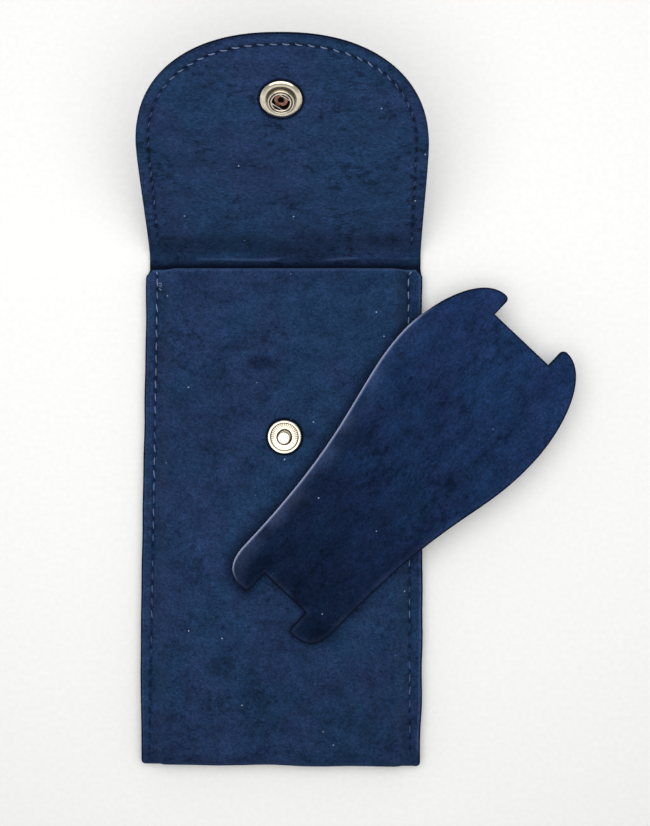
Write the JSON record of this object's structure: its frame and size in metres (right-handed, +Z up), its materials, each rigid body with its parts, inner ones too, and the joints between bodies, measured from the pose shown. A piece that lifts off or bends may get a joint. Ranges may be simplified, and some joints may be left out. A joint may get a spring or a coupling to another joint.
{
  "type": "watch pouch",
  "caption": "Flat suede pouch for one watch, with a round snap flap folded back and a stiff bone-shaped insert lying on it.",
  "frame": {"origin": "middle of the pouch body's back face, on the surface that the pouch lies on", "axes": "+X to the right and +Y from the folded bottom to the flap, seen from the front; +Z up, out of the front"},
  "size_m": [0.1253, 0.1992, 0.0533],
  "materials": {
    "outer_suede": "napped suede",
    "lining_suede": "napped suede",
    "insert_suede": "napped suede",
    "core_board": "matt board",
    "thread": "twisted polyester thread",
    "snap_nickel": "polished pale nickel plate",
    "snap_brass": "coppery brass, satin",
    "spring_steel": "bright spring wire"
  },
  "bodies": {
    "pouch": {"pouch_outer": "outer_suede", "pouch_lining": "lining_suede", "fold_outer": "outer_suede", "fold_lining": "lining_suede", "left_needle_thread": "thread", "left_bobbin_thread": "thread", "right_needle_thread": "thread", "right_bobbin_thread": "thread", "snap_stud": "snap_nickel", "snap_eyelet": "snap_brass"},
    "flap": {"flap_outer": "outer_suede", "flap_lining": "lining_suede", "flap_needle_thread": "thread", "flap_bobbin_thread": "thread", "snap_cap": "snap_nickel", "snap_socket": "snap_nickel", "snap_spring": "spring_steel"},
    "insert": {"insert_front_face": "insert_suede", "insert_core": "core_board", "insert_back_face": "insert_suede"}
  },
  "joints": [
    {"name": "flap_fold", "type": "hinge", "parent": "pouch", "child": "flap", "pos_m": [0, 0.07455, 0.0061], "axis": [1, 0, 0], "range_deg": [-46, 134], "deforming": ["fold_outer", "fold_lining"]},
    {"name": "insert_lift", "type": "slide", "parent": "pouch", "child": "insert", "axis": [0, 0, 1], "range_m": [0, 0.06]}
  ]
}
